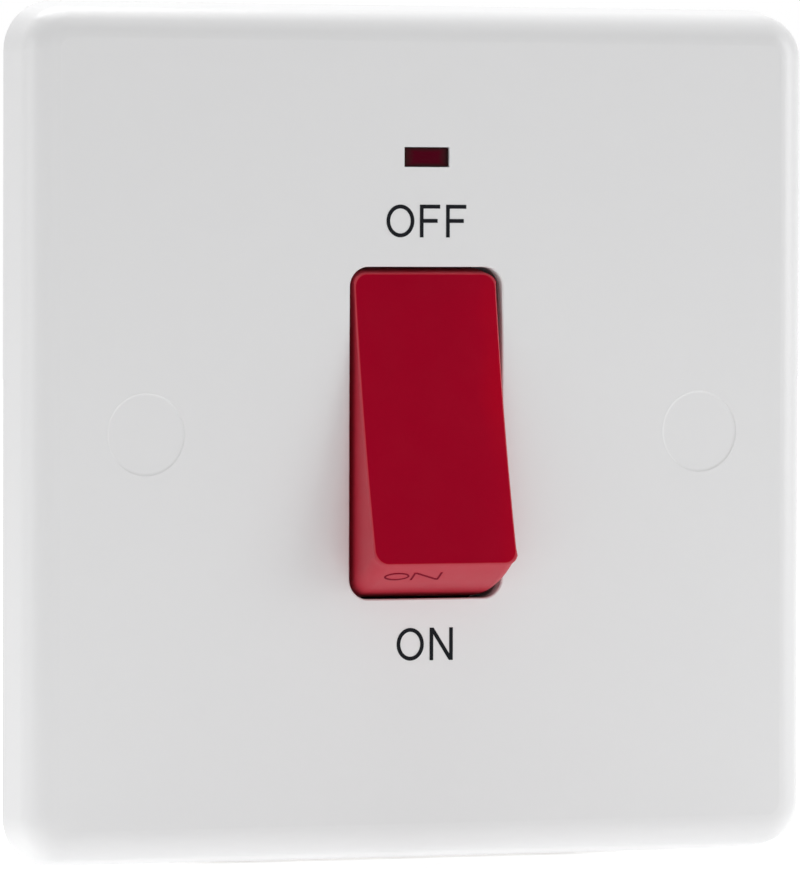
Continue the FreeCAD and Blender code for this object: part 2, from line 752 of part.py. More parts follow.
def rear_cover():
    """The insulating cover that closes the contact chamber from behind."""
    cover = rounded_block(housing_half_width, housing_half_height, base_corner / 2,
                          chamber_floor_y, rear_cover_y)
    for sx in (-1, 1):
        for sz in (-1, 1):
            cover = cover.cut(rod_y(stake_radius + stake_fit, chamber_floor_y - past, rear_cover_y + past,
                                    sx * stake_x, sz * stake_z))
    return cover


def body_screws():
    """The two screws that hold the base to the plate."""
    length = deck_y - inner_y
    screw = slotted_screw(body_screw_radius, length, body_screw_head_radius, body_screw_head_height)
    pair = [screw.translated(Vector(side * body_screw_x, inner_y, 0)) for side in (-1, 1)]
    return Part.makeCompound(pair)


def terminal_block(half_width, length, bore_radius, back_y, bore_y, screw_radius, screw_places):
    """A brass block on the deck, bored from its upper end and tapped from behind."""
    block = box(-half_width, half_width, deck_y, back_y, 0, length)
    block = block.makeChamfer(terminal_chamfer, [e for e in block.Edges if e.BoundBox.YMin > back_y - 0.01])
    bore = Part.makeCylinder(bore_radius, length, Vector(0, bore_y, terminal_bore_end), up)
    block = block.cut(bore)
    for z in screw_places:
        block = block.cut(rod_y(screw_radius + screw_fit, bore_y, back_y + past, 0, z))
    return block


def conductor_terminal(sx, sz):
    """One of the four main terminals, with its bore opening away from the middle."""
    places = [terminal_length / 2 + offset for offset in (-clamp_screw_spacing / 2, clamp_screw_spacing / 2)]
    block = terminal_block(terminal_width / 2, terminal_length, terminal_bore_radius, terminal_back_y,
                           terminal_bore_y, clamp_screw_radius, places)
    if sz < 0:
        block.rotate(Vector(0, 0, 0), rearward, 180)
    return block.translated(Vector(sx * terminal_x, 0, sz * leg_outer_z))


def clamp_screw(sx, sz, place):
    """A clamping screw backed out of its terminal, clear of the bore."""
    tip_y = terminal_bore_y + terminal_bore_radius + screw_tip_gap
    length = terminal_back_y + clamp_travel + screw_tip_gap - tip_y
    screw = slotted_screw(clamp_screw_radius, length, clamp_head_radius, clamp_head_height)
    z = terminal_mid_z + place * clamp_screw_spacing / 2
    return screw.translated(Vector(sx * terminal_x, tip_y, sz * z))


def earth_terminal():
    """The smaller terminal at the bottom, for the earth conductor."""
    block = terminal_block(earth_width / 2, earth_length, earth_bore_radius, earth_back_y,
                           earth_bore_y, earth_screw_radius, [earth_length / 2])
    block.rotate(Vector(0, 0, 0), rearward, 180)
    return block.translated(Vector(0, 0, -earth_inner_z))


def earth_screw():
    """The earth terminal's screw, backed out."""
    tip_y = earth_bore_y + earth_bore_radius + screw_tip_gap
    length = earth_back_y + earth_travel + screw_tip_gap - tip_y
    screw = slotted_screw(earth_screw_radius, length, earth_head_radius, clamp_head_height)
    return screw.translated(Vector(0, tip_y, -earth_inner_z - earth_length / 2))


def neon_lens():
    """The red window: a block through the plate with a flange behind it."""
    rear_y = inner_y + lens_flange_thickness
    stem = box(-window_half_width, window_half_width, front_y + window_recess, rear_y,
               -window_half_height, window_half_height)
    flange_x = window_half_width + lens_flange_width
    flange_z = window_half_height + lens_flange_width
    flange = box(-flange_x, flange_x, inner_y, rear_y, -flange_z, flange_z)
    return stem.fuse(flange).removeSplitter().translated(Vector(0, 0, neon_height))


def neon_lamp():
    """A small glass lamp with rounded ends, lying behind the window."""
    half = lamp_length / 2
    flat = lamp_radius - lamp_dome
    profile = [(0, -half), (flat, -half), (lamp_radius, -half + lamp_dome)]
    profile += [(lamp_radius, half - lamp_dome), (flat, half), (0, half)]
    lamp = turned(profile)
    lamp.rotate(Vector(0, 0, 0), up, 90)
    return lamp.translated(Vector(0, lamp_y, neon_height))


def lead_routes():
    """Centre lines of the three leads that join the lamp to the load terminals."""
    resistor_near = (lead_column + lead_hole_x - resistor_length) / 2
    resistor_far = resistor_near + resistor_length
    lamp_end = lamp_length / 2
    row = (lead_y, lead_row_z)
    live = [(-lamp_end, lead_y, neon_height), (-lead_column, lead_y, neon_height), (-lead_column,) + row,
            (-lead_hole_x,) + row, (-lead_hole_x, deck_y, lead_row_z)]
    lamp = [(lamp_end, lead_y, neon_height), (lead_column, lead_y, neon_height), (lead_column,) + row,
            (resistor_near,) + row]
    neutral = [(resistor_far,) + row, (lead_hole_x,) + row, (lead_hole_x, deck_y, lead_row_z)]
    return {"live": live, "lamp": lamp, "neutral": neutral}


def neon_lead(name):
    """One of the neon's wires."""
    return bent_wire(lead_routes()[name], lead_radius, lead_bend)


def neon_resistor():
    """The series resistor, in line with the neutral lead."""
    start = lead_routes()["lamp"][-1]
    return rod_x(resistor_radius, start[0], start[0] + resistor_length, lead_y, lead_row_z)


def neon_cuts():
    """The lamp's trough, the grooves for its leads and the resistor, and two lead holes."""
    half = lead_radius + lead_groove_room
    bottom = lead_y + half
    trough_radius = lamp_radius + lamp_fit
    trough_half = lamp_length / 2 + lamp_fit
    cuts = [rod_x(trough_radius, -trough_half, trough_half, lamp_y, neon_height)]
    for side in (-1, 1):
        upper = [side * lamp_length / 2, side * (lead_column + half)]
        column = [side * (lead_column - half), side * (lead_column + half)]
        lower = [side * (lead_column - half), side * (lead_hole_x + half)]
        front = base_front_y - past
        cuts.append(box(*sorted(upper), front, bottom, neon_height - half, neon_height + half))
        cuts.append(box(*sorted(column), front, bottom, lead_row_z - half, neon_height + half))
        cuts.append(box(*sorted(lower), front, bottom, lead_row_z - half, lead_row_z + half))
        cuts.append(rod_y(half, base_front_y, deck_y + past, side * lead_hole_x, lead_row_z))
    start = lead_routes()["lamp"][-1][0] - lead_groove_room
    end = start + resistor_length + 2 * lead_groove_room
    cuts.append(rod_x(resistor_radius + lead_groove_room, start, end, lead_y, lead_row_z))
    return cuts


def all_pieces():
    """Every piece of the switch by its name."""
    pieces = {
        "front_plate": front_plate(),
        "rocker": rocker(),
        "switch_base": switch_base(),
        "rear_cover": rear_cover(),
        "body_screws": body_screws(),
        "earth_terminal": earth_terminal(),
        "earth_screw": earth_screw(),
        "neon_lens": neon_lens(),
        "neon_lamp": neon_lamp(),
        "neon_resistor": neon_resistor(),
    }
    for name in lead_routes():
        pieces["neon_lead_" + name] = neon_lead(name)
    for hand, side in (("left", -1), ("right", 1)):
        across = Vector(side * fixing_x, 0, 0)
        pieces["screw_cap_" + hand] = screw_cap().translated(across)
        pieces["fixing_screw_" + hand] = fixing_screw().translated(across)
    for pole, side in (("live", -1), ("neutral", 1)):
        x = side * pole_x
        pieces["plunger_" + pole] = plunger(x)
        pieces["plunger_spring_" + pole] = plunger_spring(x)
        pieces["moving_contact_" + pole] = moving_contact(x)
        pieces["moving_tip_" + pole] = moving_tip(x)
        pieces["fixed_contact_" + pole] = fixed_contact(side)
        pieces["fixed_tip_" + pole] = fixed_tip(x)
        pieces["pivot_post_" + pole] = pivot_post(side)
        for end, sz in (("supply", -1), ("load", 1)):
            name = end + "_" + pole
            pieces[name + "_terminal"] = conductor_terminal(side, sz)
            pieces[name + "_screw_inner"] = clamp_screw(side, sz, -1)
            pieces[name + "_screw_outer"] = clamp_screw(side, sz, 1)
    return pieces


os.makedirs("parts", exist_ok=True)
for piece_name, piece in all_pieces().items():
    piece.exportStep("parts/" + piece_name + ".step")
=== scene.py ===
import json
import math

import bpy
from mathutils import Matrix, Vector

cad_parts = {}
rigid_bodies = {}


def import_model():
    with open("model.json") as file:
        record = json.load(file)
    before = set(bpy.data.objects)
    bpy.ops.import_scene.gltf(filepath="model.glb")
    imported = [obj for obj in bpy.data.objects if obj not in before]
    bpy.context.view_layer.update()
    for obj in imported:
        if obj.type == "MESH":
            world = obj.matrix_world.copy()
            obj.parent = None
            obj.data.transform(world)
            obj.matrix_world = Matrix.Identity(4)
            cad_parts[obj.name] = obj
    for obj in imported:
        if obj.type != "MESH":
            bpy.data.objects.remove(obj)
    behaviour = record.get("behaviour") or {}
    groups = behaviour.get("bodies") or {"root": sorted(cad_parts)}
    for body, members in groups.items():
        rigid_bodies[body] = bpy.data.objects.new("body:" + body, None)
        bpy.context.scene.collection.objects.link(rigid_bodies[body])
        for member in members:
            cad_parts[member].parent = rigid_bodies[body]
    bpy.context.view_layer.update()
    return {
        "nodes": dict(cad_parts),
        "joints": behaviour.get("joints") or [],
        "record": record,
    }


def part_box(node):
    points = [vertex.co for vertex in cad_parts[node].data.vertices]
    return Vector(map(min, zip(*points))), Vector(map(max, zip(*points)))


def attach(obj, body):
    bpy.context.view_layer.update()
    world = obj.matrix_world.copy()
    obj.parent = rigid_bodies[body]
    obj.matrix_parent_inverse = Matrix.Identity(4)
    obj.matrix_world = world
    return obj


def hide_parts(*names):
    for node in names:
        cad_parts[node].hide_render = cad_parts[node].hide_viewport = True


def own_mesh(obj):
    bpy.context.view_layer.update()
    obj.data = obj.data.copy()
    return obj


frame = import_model()

mm = 0.001
nearby = 0.01 * mm  # points closer than this count as one place
nodes = frame["nodes"]
pivot = {joint["name"]: Vector(joint["pos_m"]) for joint in frame["joints"] if "pos_m" in joint}
print("frame loaded:", len(nodes), "nodes")


# Small tools for modelling

def deselectAll():
    if bpy.context.object and bpy.context.object.mode != "OBJECT":
        bpy.ops.object.mode_set(mode="OBJECT")
    bpy.ops.object.select_all(action="DESELECT")


def activate(piece):
    deselectAll()
    piece.select_set(True)
    bpy.context.view_layer.objects.active = piece
    return piece


def named(name):
    piece = bpy.context.object  # what the last primitive added
    piece.name = name
    piece.data.name = name
    return piece


def bakePlace(piece):
    activate(piece)
    bpy.ops.object.transform_apply(location=True, rotation=True, scale=True)
    return piece


def applyModifier(piece, kind, **settings):
    activate(piece)
    modifier = piece.modifiers.new(kind.title(), kind)
    for key, value in settings.items():
        setattr(modifier, key, value)
    bpy.ops.object.modifier_apply(modifier=modifier.name)
    return piece


def boolean(piece, other, operation):
    applyModifier(piece, "BOOLEAN", object=other, operation=operation, solver="EXACT")
    bpy.data.objects.remove(other)
    return piece


def roundEdges(piece, width, steps, **settings):
    return applyModifier(piece, "BEVEL", width=width, segments=steps, limit_method="ANGLE", **settings)


def enterEdit(piece, kind="VERT"):
    # edit mode with everything selected
    activate(piece)
    bpy.ops.object.mode_set(mode="EDIT")
    bpy.ops.mesh.select_mode(type=kind)
    bpy.ops.mesh.select_all(action="SELECT")


def leaveEdit():
    # with all faces turned outwards
    bpy.ops.mesh.select_all(action="SELECT")
    bpy.ops.mesh.normals_make_consistent(inside=False)
    bpy.ops.object.mode_set(mode="OBJECT")


def selectEdges(piece, wanted):
    # selects, in edit mode, the edges whose two ends the test accepts
    enterEdit(piece, "EDGE")
    bpy.ops.mesh.select_all(action="DESELECT")
    bpy.ops.object.mode_set(mode="OBJECT")
    for edge in piece.data.edges:
        first, second = (piece.data.vertices[index].co for index in edge.vertices)
        edge.select = wanted(first, second)
    bpy.ops.object.mode_set(mode="EDIT")


def selectFaces(piece, wanted):
    # selects, in edit mode, the faces that the test accepts by centre and normal
    enterEdit(piece, "FACE")
    bpy.ops.mesh.select_all(action="DESELECT")
    bpy.ops.object.mode_set(mode="OBJECT")
    for polygon in piece.data.polygons:
        polygon.select = wanted(polygon.center, polygon.normal)
    bpy.ops.object.mode_set(mode="EDIT")


def facesFront(normal):
    return normal.y < -0.9


def closeHoles(piece, sides):
    # fills the small gaps that a boolean leaves where two rounds meet
    enterEdit(piece, "EDGE")
    bpy.ops.mesh.select_all(action="DESELECT")
    bpy.ops.mesh.select_non_manifold()
    bpy.ops.mesh.fill_holes(sides=sides)
    leaveEdit()


def smooth(piece, degrees):
    # smooth rounds beside flats that stay even
    activate(piece)
    bpy.ops.object.shade_smooth_by_angle(angle=math.radians(degrees))
    return applyModifier(piece, "WEIGHTED_NORMAL", keep_sharp=True, weight=80)


def cylinder(name, radius, start, end, vertices=64):
    start, end = Vector(start), Vector(end)
    turn = (end - start).to_track_quat("Z", "Y").to_euler()
    deselectAll()
    bpy.ops.mesh.primitive_cylinder_add(vertices=vertices, radius=radius, depth=(end - start).length,
                                        location=(start + end) / 2, rotation=turn)
    return bakePlace(named(name))


def block(name, low, high):
    # a plain box between two opposite corners
    low, high = Vector(low), Vector(high)
    deselectAll()
    bpy.ops.mesh.primitive_cube_add(size=1, location=(low + high) / 2, scale=high - low)
    return bakePlace(named(name))


def upright(name, place, radius, vertices, turn=0.0):
    # an outline standing in the XZ plane
    deselectAll()
    bpy.ops.mesh.primitive_circle_add(vertices=vertices, radius=radius, location=place,
                                      rotation=(math.pi / 2, turn, 0))
    return named(name)


def wind(section, pitch, turns, steps):
    # carries an upright outline round the Z axis and closes both ends
    sides = len(section.data.vertices)
    applyModifier(section, "SCREW", axis="Z", screw_offset=pitch, iterations=turns,
                  steps=steps, render_steps=steps)
    enterEdit(section)
    bpy.ops.mesh.fill_holes(sides=sides)
    leaveEdit()
    return section


def joined(name, pieces):
    deselectAll()
    for piece in pieces:
        piece.select_set(True)
    bpy.context.view_layer.objects.active = pieces[0]
    bpy.ops.object.join()
    return named(name)


def copied(piece, name):
    twin = piece.copy()
    twin.data = piece.data.copy()
    twin.name = twin.data.name = name
    bpy.context.scene.collection.objects.link(twin)
    return twin


def finish(piece, node, body):
    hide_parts(node)
    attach(piece, body)


def middle(node):
    low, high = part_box(node)
    return (Vector(low) + Vector(high)) / 2


# Materials

def shaderOf(material):
    return material.node_tree.nodes["Principled BSDF"]


def newMaterial(name, colour, roughness, **inputs):
    material = bpy.data.materials.new(name)
    material.use_nodes = True
    shader = shaderOf(material)
    shader.inputs["Base Color"].default_value = (*colour, 1)
    shader.inputs["Roughness"].default_value = roughness
    for key, value in inputs.items():
        shader.inputs[key].default_value = value
    return material


def addNode(owner, kind, inputs=None, **settings):
    # an input is a fixed value, or another node's output to link
    node = owner.node_tree.nodes.new(kind)
    for key, value in settings.items():
        setattr(node, key, value)
    for key, value in (inputs or {}).items():
        if isinstance(value, bpy.types.NodeSocket):
            owner.node_tree.links.new(value, node.inputs[key])
        else:
            node.inputs[key].default_value = value
    return node


def feed(material, source, key):
    # links a pattern to one of the shader's inputs
    material.node_tree.links.new(source, shaderOf(material).inputs[key])


def calc(owner, operation, *values):
    return addNode(owner, "ShaderNodeMath", dict(enumerate(values)), operation=operation).outputs[0]


def calcVector(owner, operation, *values):
    node = addNode(owner, "ShaderNodeVectorMath", dict(enumerate(values)), operation=operation)
    return node.outputs["Value" if operation == "LENGTH" else "Vector"]


def spread(owner, source, low, high, start=0.0, end=1.0, **settings):
    # turns what runs from start to end into what runs from low to high
    inputs = {"Value": source, "From Min": start, "From Max": end, "To Min": low, "To Max": high}
    return addNode(owner, "ShaderNodeMapRange", inputs, **settings).outputs["Result"]


def objectPlace(material):
    return addNode(material, "ShaderNodeTexCoord").outputs["Object"]


def separate(material, vector):
    return addNode(material, "ShaderNodeSeparateXYZ", {"Vector": vector}).outputs


def noise(material, scale, detail, stretch=(1, 1, 1), distortion=0.0):
    mapping = addNode(material, "ShaderNodeMapping", {"Vector": objectPlace(material), "Scale": stretch})
    inputs = {"Vector": mapping.outputs[0], "Scale": scale, "Detail": detail, "Distortion": distortion}
    return addNode(material, "ShaderNodeTexNoise", inputs).outputs["Fac"]


def colourRamp(material, source, stops, interpolation="LINEAR"):
    # the base colour passes through the stops as the pattern rises
    ramp = addNode(material, "ShaderNodeValToRGB", {"Fac": source})
    elements = ramp.color_ramp.elements
    ramp.color_ramp.interpolation = interpolation
    while len(elements) < len(stops):
        elements.new(0.5)
    for element, (position, colour) in zip(elements, stops):
        element.position = position
        element.color = (*colour, 1)
    feed(material, ramp.outputs["Color"], "Base Color")


noiseSpan = {"tones": (0.2, 0.8), "rough": (0.15, 0.85)}  # between these a noise makes its full change


def mottle(material, source, dark, light):
    start, end = noiseSpan["tones"]
    colourRamp(material, source, [(start, dark), (end, light)])


def varyRoughness(material, source, low, high):
    feed(material, spread(material, source, low, high, *noiseSpan["rough"]), "Roughness")


def bump(material, source, height):
    node = addNode(material, "ShaderNodeBump", {"Height": source, "Distance": height, "Strength": 1.0})
    feed(material, node.outputs["Normal"], "Normal")


plainLooks = {
    # a pattern is its scale, its detail and, where it runs one way, its stretch
    "mouldedWhite": {
        "colour": (0.80, 0.80, 0.805),
        "roughness": 0.3,
        "tones": ((0.797, 0.797, 0.802), (0.803, 0.803, 0.807)),
        "tonePattern": (60, 4),
        "roughRange": (0.27, 0.31),
        "roughPattern": (240, 5),
        "relief": 0.012 * mm,
        "reliefPattern": (900, 2),
    },
    "baseMoulding": {
        "colour": (0.03, 0.03, 0.033),
        "roughness": 0.5,
        "tones": ((0.022, 0.022, 0.024), (0.045, 0.044, 0.046)),
        "tonePattern": (350, 5),
        "roughRange": (0.42, 0.6),
        "roughPattern": (180, 4),
        "relief": 0.02 * mm,
        "reliefPattern": (1600, 3),
    },
    "coverBoard": {
        "colour": (0.30, 0.21, 0.12),
        "roughness": 0.6,
        "tones": ((0.22, 0.15, 0.085), (0.36, 0.26, 0.155)),
        "tonePattern": (500, 6, (1, 1, 0.15)),
        "relief": 0.03 * mm,
        "reliefPattern": (1800, 4, (1, 1, 0.2)),
    },
    "plungerNylon": {
        "colour": (0.70, 0.66, 0.54),
        "roughness": 0.4,
        "inputs": {"Subsurface Weight": 0.1},
        "tones": ((0.66, 0.62, 0.50), (0.74, 0.70, 0.58)),
        "tonePattern": (300, 3),
        "relief": 0.01 * mm,
        "reliefPattern": (1200, 2),
    },
    "lampGlass": {
        "colour": (0.92, 0.86, 0.78),
        "roughness": 0.05,
        "inputs": {"Transmission Weight": 0.95, "IOR": 1.5},
        "tones": ((0.86, 0.76, 0.62), (0.95, 0.93, 0.90)),
        "tonePattern": (400, 2),
    },
    "legendInk": {
        "colour": (0.012, 0.013, 0.016),
        "roughness": 0.5,
        "inputs": {"Specular IOR Level": 0.05},
        "tones": ((0.010, 0.011, 0.014), (0.014, 0.015, 0.018)),
        "tonePattern": (2500, 2),
    },
    # painted shade: the rocker's raised end letters are a darker red than the rocker, standing in for the
    # shade in their moulded relief
    "rockerLegendPaintedShade": {
        "colour": (0.2, 0.0, 0.016),
        "roughness": 0.35,
        "inputs": {"Specular IOR Level": 0.05},
        "tones": ((0.17, 0.0, 0.013), (0.22, 0.0, 0.018)),
        "tonePattern": (2500, 2),
    },
}


def plain(name):
    # two close tones and, where the look gives them, a varied gloss and a fine relief
    look = plainLooks[name]
    material = newMaterial(name, look["colour"], look["roughness"], **look.get("inputs", {}))
    mottle(material, noise(material, *look["tonePattern"]), *look["tones"])
    if "roughRange" in look:
        varyRoughness(material, noise(material, *look["roughPattern"]), *look["roughRange"])
    if "relief" in look:
        bump(material, noise(material, *look["reliefPattern"]), look["relief"])
    return material


metalLooks = {
    # darker tone, lighter tone, roughness, scale and stretch of the lines
    "machinedBrass": ((0.62, 0.43, 0.17), (0.80, 0.60, 0.27), 0.28, 700, (0.15, 1, 1)),
    "copperStrip": ((0.72, 0.34, 0.20), (0.86, 0.46, 0.30), 0.3, 600, (1, 1, 0.1)),
    "silverTip": ((0.70, 0.69, 0.66), (0.88, 0.87, 0.84), 0.22, 900, (1, 1, 1)),
    "platedSteel": ((0.55, 0.56, 0.57), (0.74, 0.74, 0.73), 0.3, 800, (1, 0.3, 1)),
    "springSteel": ((0.40, 0.41, 0.43), (0.60, 0.61, 0.63), 0.3, 1200, (1, 1, 1)),
    "tinnedWire": ((0.62, 0.60, 0.56), (0.80, 0.78, 0.74), 0.32, 1500, (1, 1, 1)),
}
metalLines = {
    "detail": 4,
    "polished": 0.8,  # times the metal's roughness
    "dulled": 1.25,
    "relief": 0.008 * mm,
}


def metal(name):
    dark, light, roughness, scale, stretch = metalLooks[name]
    material = newMaterial(name, light, roughness, Metallic=1.0)
    lines = noise(material, scale, metalLines["detail"], stretch)
    mottle(material, lines, dark, light)
    varyRoughness(material, lines, roughness * metalLines["polished"], roughness * metalLines["dulled"])
    bump(material, lines, metalLines["relief"])
    return material


# The rocker's red and the window's red follow the shapes of their pieces

rockerShape = {
    "halfWidth": 7.75 * mm,
    "endRadius": 16.6 * mm,  # of both ends, about the pivot
    "edgeAngle": 26.5,  # where the face meets the ends
    "dish": 0.5 * mm,
    "skirtAngle": 6.0,
    "wall": 1.4 * mm,
    "cornerRound": 1.45 * mm,
    "edgeRound": 0.2 * mm,
    "tilt": 11.5,
    "trunnionRadius": 1.5 * mm,
    "tubeSpacing": 8.4 * mm,
    "tubeRadius": 2.21 * mm,
    "tubeBore": 1.56 * mm,
    "tubeLength": 4.4 * mm,
    "endSteps": 20,
    "dishSteps": 36,
    "cornerSteps": 8,
    "edgeSteps": 4,
    "roundedFrom": 40,  # edges that turn by more degrees than this are rounded
}
rockerLook = {
    "colour": (0.36, 0.0, 0.017),
    "roughness": 0.22,
    "tones": [
        # from the darkest of the face to the sides; above 0.3 the stops are painted light, first the
        # face's painted glow, then the sides' painted pinkish reflection
        (0.0, (0.34, 0.0, 0.016)),
        (0.3, (0.37, 0.0, 0.017)),
        (0.55, (0.47, 0.0, 0.013)),
        (1.0, (0.47, 0.018, 0.04)),
    ],
    "toneShare": 0.3,
    "tonePattern": (90, 4),
    "paintedGlowStart": 0.3,  # a painted glow brightens the face from here to its right edge
    "paintedGlowTone": 0.25,
    "sideRange": (0.86, 0.95),  # where the face passes into the sides with their painted pinkish reflection and higher gloss, 1 being the very edge
    "gloss": (0.15, 0.55),  # face, sides
    "rough": (0.16, 0.42),
    "wear": 0.12,
    "wearPattern": (300, 5),
    "relief": 0.01 * mm,
    "reliefPattern": (1100, 2),
}


def rockerSides(material):
    # gives 0 on the face and 1 on the flanks, ends and rounded corners, and then the share of the
    # half width at which a point lies
    halfWidth, endRadius = rockerShape["halfWidth"], rockerShape["endRadius"]
    cornerRound = rockerShape["cornerRound"]
    place = objectPlace(material)
    offset = calcVector(material, "SUBTRACT", place, pivot["rocker_tilt"])
    reach = calcVector(material, "LENGTH", calcVector(material, "MULTIPLY", offset, (0, 1, 1)))
    across = separate(material, place)["X"]
    width = calc(material, "ABSOLUTE", across)
    nearSide = spread(material, width, 0, 1, halfWidth - cornerRound, halfWidth)
    nearEnd = spread(material, reach, 0, 1, endRadius - cornerRound, endRadius)
    corner = addNode(material, "ShaderNodeCombineXYZ", {"X": nearSide, "Y": nearEnd}).outputs[0]
    sides = spread(material, calcVector(material, "LENGTH", corner), 0, 1, *rockerLook["sideRange"])
    return sides, calc(material, "DIVIDE", across, halfWidth)


def rockerRed():
    # polished deep red face with a painted glow brightening it towards its right edge, and duller sides
    # whose pinker colour is a painted reflection
    look = rockerLook
    material = newMaterial("rockerRed", look["colour"], look["roughness"])
    sides, share = rockerSides(material)
    grain = calc(material, "MULTIPLY", noise(material, *look["tonePattern"]), look["toneShare"])
    # painted glow: the base colour brightens towards the face's right edge, standing in for light shining
    # through the rocker's wall
    right = spread(material, share, 0, look["paintedGlowTone"], start=look["paintedGlowStart"],
                   interpolation_type="SMOOTHSTEP")
    tone = calc(material, "ADD", grain, right)
    # the sides' paler, pinker stops are a painted reflection, on top of their real higher gloss
    colourRamp(material, calc(material, "ADD", tone, sides), look["tones"])
    feed(material, spread(material, sides, *look["gloss"]), "Specular IOR Level")
    wear = calc(material, "MULTIPLY", noise(material, *look["wearPattern"]), look["wear"])
    feed(material, calc(material, "ADD", wear, spread(material, sides, *look["rough"])), "Roughness")
    bump(material, noise(material, *look["reliefPattern"]), look["relief"])
    return material


window = {
    "halfWidth": 2.4 * mm,
    "halfHeight": 0.95 * mm,
    "cornerRound": 0.15 * mm,
    "cornerSteps": 5,
    "edgeRound": 0.07 * mm,
    "edgeSteps": 3,
    "roundedFrom": 50,
    "frame": 0.20 * mm,
    "panelDrop": 0.06 * mm,
    "flangeStart": 2.3 * mm,  # behind the lens face
    "colour": (0.06, 0.001, 0.006),
    "roughness": 0.2,
    "inputs": {"IOR": 1.49, "Specular IOR Level": 0.02},
    "tones": [(0.55, (0.076, 0.002, 0.010)), (0.95, (0.036, 0.012, 0.013))],  # middle, frame
    "streakPattern": (900, 2, (1, 1, 2.4), 0.6),
    "wander": 0.12,  # how far the streaks move the tones
    "relief": 0.03 * mm,
}


def neonRed():
    # deep red in the middle, nearly black where the window meets its frame
    material = newMaterial("neonLens", window["colour"], window["roughness"], **window["inputs"])
    offset = calcVector(material, "SUBTRACT", objectPlace(material), middle("neon_lens"))
    share = calcVector(material, "DIVIDE", offset, (window["halfWidth"], 1, window["halfHeight"]))
    parts = separate(material, calcVector(material, "ABSOLUTE", share))
    edge = calc(material, "MAXIMUM", parts["X"], parts["Z"])
    streaks = noise(material, *window["streakPattern"])
    blend = calc(material, "ADD", edge, spread(material, streaks, -window["wander"], window["wander"]))
    colourRamp(material, blend, window["tones"])
    bump(material, streaks, window["relief"])
    return material


resistor = {
    "colours": {
        "body": (0.55, 0.42, 0.25),
        "brown": (0.12, 0.04, 0.015),
        "black": (0.01, 0.01, 0.01),
        "yellow": (0.75, 0.55, 0.03),
        "gold": (0.45, 0.30, 0.08),
    },
    "bands": [
        # where each colour starts, as a share of the length
        (0.0, "body"), (0.16, "brown"), (0.26, "body"), (0.36, "black"), (0.46, "body"),
        (0.56, "yellow"), (0.66, "body"), (0.80, "gold"), (0.90, "body"),
    ],
    "roughness": 0.4,
    "relief": 0.01 * mm,
    "reliefPattern": (1500, 2),
}


def resistorBody():
    colours = resistor["colours"]
    material = newMaterial("resistorBody", colours["body"], resistor["roughness"])
    low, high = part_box("neon_resistor")
    along = separate(material, objectPlace(material))["X"]
    stops = [(start, colours[colour]) for start, colour in resistor["bands"]]
    colourRamp(material, spread(material, along, 0, 1, low.x, high.x), stops, "CONSTANT")
    bump(material, noise(material, *resistor["reliefPattern"]), resistor["relief"])
    return material


finishes = {
    "moulded_white": plain("mouldedWhite"),
    "rocker_red": rockerRed(),
    "base_moulding": plain("baseMoulding"),
    "cover_board": plain("coverBoard"),
    "brass_block": metal("machinedBrass"),
    "copper_strip": metal("copperStrip"),
    "silver_tip": metal("silverTip"),
    "plated_steel": metal("platedSteel"),
    "neon_red": neonRed(),
    "lamp_glass": plain("lampGlass"),
    "spring_steel": metal("springSteel"),
    "resistor_body": resistorBody(),
    "lead_wire": metal("tinnedWire"),
    "plunger_nylon": plain("plungerNylon"),
}
slotOf = {row["node"]: row["material_slot"] for row in frame["record"]["subparts"]}
for nodeName, node in nodes.items():
    node.data.materials.clear()
    node.data.materials.append(finishes[slotOf[nodeName]])
print("finishes on", len(nodes), "nodes")


# Camera

shot = {
    "distance": 0.87226,
    "azimuth": 23.049,
    "elevation": 1.216,
    "roll": 0.142,
    "focalPixels": 8693.4,
    "imageWidth": 800,
    "imageHeight": 869,
    "plateCentre": (426.34, 432.80),  # where the middle of the front face lies in the image
    "sensor": 36,
    "clipStart": 0.01,
}


def addCamera():
    azimuth, elevation, roll = (math.radians(shot[key]) for key in ("azimuth", "elevation", "roll"))
    ahead = Vector((math.sin(azimuth) * math.cos(elevation), math.cos(azimuth) * math.cos(elevation),
                    -math.sin(elevation)))
    side = Vector((math.cos(azimuth), -math.sin(azimuth), 0))
    over = side.cross(ahead)
    right = side * math.cos(roll) + over * math.sin(roll)
    up = over * math.cos(roll) - side * math.sin(roll)
    frontCentre = Vector((0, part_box("front_plate")[0].y, 0))
    place = frontCentre - ahead * shot["distance"]
    acrossShare = (shot["imageWidth"] / 2 - shot["plateCentre"][0]) / shot["focalPixels"]
    downShare = (shot["imageHeight"] / 2 - shot["plateCentre"][1]) / shot["focalPixels"]
    aim = (ahead + right * acrossShare - up * downShare).normalized()
    right = (right - aim * right.dot(aim)).normalized()
    up = right.cross(aim)
    lensData = bpy.data.cameras.new("camera")
    lensData.sensor_width = shot["sensor"]
    lensData.lens = shot["focalPixels"] / shot["imageHeight"] * lensData.sensor_width
    lensData.clip_start = shot["clipStart"]
    camera = bpy.data.objects.new("camera", lensData)
    bpy.context.scene.collection.objects.link(camera)
    turn = Matrix((right, up, -aim)).transposed().to_4x4()
    camera.matrix_world = Matrix.Translation(place) @ turn
    bpy.context.scene.camera = camera


# Light, floor and the card that keeps the rocker's face deep red

